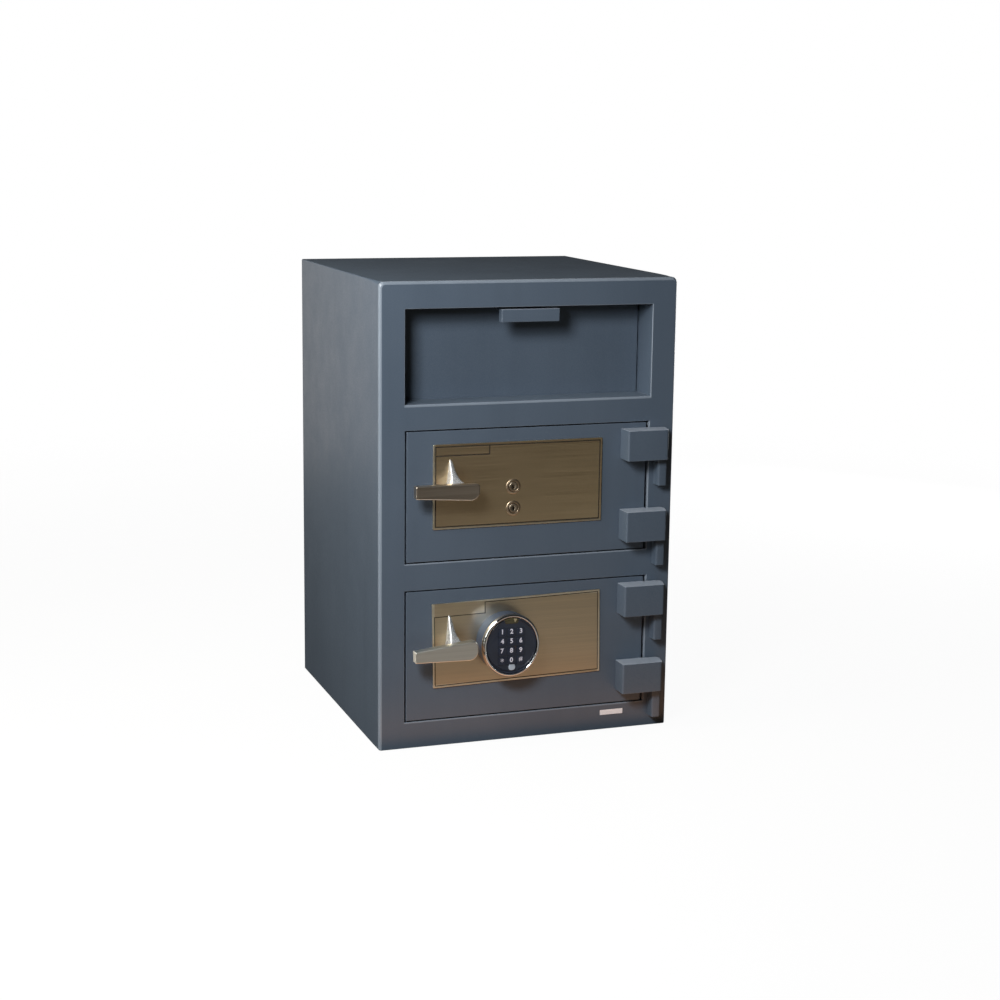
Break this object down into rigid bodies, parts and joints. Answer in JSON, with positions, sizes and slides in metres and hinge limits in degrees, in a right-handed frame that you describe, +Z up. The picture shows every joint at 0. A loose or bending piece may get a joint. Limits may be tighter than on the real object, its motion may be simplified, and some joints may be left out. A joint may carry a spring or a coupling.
{
  "type": "drop safe with deposit drawer",
  "caption": "Steel depository safe: recessed tilt-out deposit drawer over a key-locked door and a keypad-locked door, lever handles and external pin hinges.",
  "frame": {"origin": "centre of the cabinet's underside, midway between its sides and between its front and back faces", "axes": "+X to the right seen from the front, +Y to the back, +Z up"},
  "size_m": [0.508, 0.553, 0.762],
  "materials": {
    "body_paint": "fine-textured slate blue-grey paint, satin",
    "inner_paint": "slate primer on inner steel, matte",
    "trim_bronze": "brushed bronze-tinted metal, horizontal grain",
    "lever_satin": "satin brushed cast metal",
    "polished_chrome": "polished chrome plate",
    "bright_steel": "drawn bright steel",
    "lock_zinc": "die-cast zinc, matte",
    "keypad_face": "dark blue-black moulded plastic, satin gloss",
    "keypad_keys": "dark blue-black rubbery keys with white numerals"
  },
  "bodies": {
    "cabinet": {"front_frame": "body_paint", "left_side": "body_paint", "right_side": "body_paint", "top_plate": "body_paint", "bottom_plate": "body_paint", "back_plate": "body_paint", "partition_shelf": "inner_paint", "drawer_cheek_left": "body_paint", "drawer_cheek_right": "body_paint", "drawer_sill": "body_paint", "drawer_roof": "body_paint", "drawer_baffle": "inner_paint", "hinge_knuckle_1": "body_paint", "hinge_knuckle_2": "body_paint", "hinge_knuckle_3": "body_paint", "hinge_knuckle_4": "body_paint"},
    "drawer": {"drawer_panel": "body_paint", "drawer_pull": "body_paint", "drawer_bin": "inner_paint", "drawer_rod": "bright_steel"},
    "upper_door": {"upper_door_plate": "body_paint", "hinge_block_1": "body_paint", "hinge_block_2": "body_paint", "upper_trim_plate": "trim_bronze", "upper_dead_bar": "inner_paint", "upper_bolt_guide": "inner_paint", "upper_lock_case": "lock_zinc"},
    "upper_handle": {"upper_handle_spindle": "bright_steel", "upper_handle_shank": "polished_chrome", "upper_handle_lever": "lever_satin"},
    "upper_bolts": {"upper_boltwork": "bright_steel"},
    "key_lock_1": {"key_plug_1": "polished_chrome"},
    "key_lock_2": {"key_plug_2": "polished_chrome"},
    "lower_door": {"lower_door_plate": "body_paint", "hinge_block_3": "body_paint", "hinge_block_4": "body_paint", "lower_trim_plate": "trim_bronze", "lower_dead_bar": "inner_paint", "lower_bolt_guide": "inner_paint", "lower_lock_case": "lock_zinc", "keypad_core": "keypad_face"},
    "lower_handle": {"lower_handle_spindle": "bright_steel", "lower_handle_shank": "polished_chrome", "lower_handle_lever": "lever_satin"},
    "lower_bolts": {"lower_boltwork": "bright_steel"},
    "lock_ring": {"keypad_ring": "polished_chrome"},
    "button_1": {"key_1": "keypad_keys"},
    "button_2": {"key_2": "keypad_keys"},
    "button_3": {"key_3": "keypad_keys"},
    "button_4": {"key_4": "keypad_keys"},
    "button_5": {"key_5": "keypad_keys"},
    "button_6": {"key_6": "keypad_keys"},
    "button_7": {"key_7": "keypad_keys"},
    "button_8": {"key_8": "keypad_keys"},
    "button_9": {"key_9": "keypad_keys"},
    "button_star": {"key_star": "keypad_keys"},
    "button_0": {"key_0": "keypad_keys"},
    "button_hash": {"key_hash": "keypad_keys"}
  },
  "joints": [
    {"name": "drawer_tilt", "type": "hinge", "parent": "cabinet", "child": "drawer", "pos_m": [0, -0.187, 0.579], "axis": [1, 0, 0], "range_deg": [0, 65]},
    {"name": "upper_door_swing", "type": "hinge", "parent": "cabinet", "child": "upper_door", "pos_m": [0.228, -0.265, 0.417], "axis": [0, 0, 1], "range_deg": [0, 100]},
    {"name": "lower_door_swing", "type": "hinge", "parent": "cabinet", "child": "lower_door", "pos_m": [0.228, -0.265, 0.154], "axis": [0, 0, 1], "range_deg": [0, 100]},
    {"name": "upper_handle_turn", "type": "hinge", "parent": "upper_door", "child": "upper_handle", "pos_m": [-0.1372, -0.27, 0.431], "axis": [0, -1, 0], "range_deg": [0, 90]},
    {"name": "upper_bolt_throw", "type": "slide", "parent": "upper_door", "child": "upper_bolts", "axis": [-1, 0, 0], "range_m": [0, 0.0241]},
    {"name": "lower_handle_turn", "type": "hinge", "parent": "lower_door", "child": "lower_handle", "pos_m": [-0.1372, -0.27, 0.1666], "axis": [0, -1, 0], "range_deg": [0, 90]},
    {"name": "lower_bolt_throw", "type": "slide", "parent": "lower_door", "child": "lower_bolts", "axis": [-1, 0, 0], "range_m": [0, 0.0241]},
    {"name": "key_plug_1_turn", "type": "hinge", "parent": "upper_door", "child": "key_lock_1", "pos_m": [-0.0283, -0.25, 0.4276], "axis": [0, 1, 0], "range_deg": [0, 90]},
    {"name": "key_plug_2_turn", "type": "hinge", "parent": "upper_door", "child": "key_lock_2", "pos_m": [-0.0278, -0.25, 0.3919], "axis": [0, 1, 0], "range_deg": [0, 90]},
    {"name": "keypad_ring_turn", "type": "hinge", "parent": "lower_door", "child": "lock_ring", "pos_m": [-0.04, -0.27, 0.1708], "axis": [0, 1, 0], "range_deg": [0, 80]},
    {"name": "press_1", "type": "slide", "parent": "lower_door", "child": "button_1", "axis": [0, 1, 0], "range_m": [0, 0.001], "stiffness_N_per_m": 500, "springref_m": -0.0005},
    {"name": "press_2", "type": "slide", "parent": "lower_door", "child": "button_2", "axis": [0, 1, 0], "range_m": [0, 0.001], "stiffness_N_per_m": 500, "springref_m": -0.0005},
    {"name": "press_3", "type": "slide", "parent": "lower_door", "child": "button_3", "axis": [0, 1, 0], "range_m": [0, 0.001], "stiffness_N_per_m": 500, "springref_m": -0.0005},
    {"name": "press_4", "type": "slide", "parent": "lower_door", "child": "button_4", "axis": [0, 1, 0], "range_m": [0, 0.001], "stiffness_N_per_m": 500, "springref_m": -0.0005},
    {"name": "press_5", "type": "slide", "parent": "lower_door", "child": "button_5", "axis": [0, 1, 0], "range_m": [0, 0.001], "stiffness_N_per_m": 500, "springref_m": -0.0005},
    {"name": "press_6", "type": "slide", "parent": "lower_door", "child": "button_6", "axis": [0, 1, 0], "range_m": [0, 0.001], "stiffness_N_per_m": 500, "springref_m": -0.0005},
    {"name": "press_7", "type": "slide", "parent": "lower_door", "child": "button_7", "axis": [0, 1, 0], "range_m": [0, 0.001], "stiffness_N_per_m": 500, "springref_m": -0.0005},
    {"name": "press_8", "type": "slide", "parent": "lower_door", "child": "button_8", "axis": [0, 1, 0], "range_m": [0, 0.001], "stiffness_N_per_m": 500, "springref_m": -0.0005},
    {"name": "press_9", "type": "slide", "parent": "lower_door", "child": "button_9", "axis": [0, 1, 0], "range_m": [0, 0.001], "stiffness_N_per_m": 500, "springref_m": -0.0005},
    {"name": "press_star", "type": "slide", "parent": "lower_door", "child": "button_star", "axis": [0, 1, 0], "range_m": [0, 0.001], "stiffness_N_per_m": 500, "springref_m": -0.0005},
    {"name": "press_0", "type": "slide", "parent": "lower_door", "child": "button_0", "axis": [0, 1, 0], "range_m": [0, 0.001], "stiffness_N_per_m": 500, "springref_m": -0.0005},
    {"name": "press_hash", "type": "slide", "parent": "lower_door", "child": "button_hash", "axis": [0, 1, 0], "range_m": [0, 0.001], "stiffness_N_per_m": 500, "springref_m": -0.0005}
  ],
  "couplings": [
    {"joint": "upper_bolt_throw", "follows": "upper_handle_turn", "m_per_rad": 0.015279},
    {"joint": "lower_bolt_throw", "follows": "lower_handle_turn", "m_per_rad": 0.015279}
  ]
}
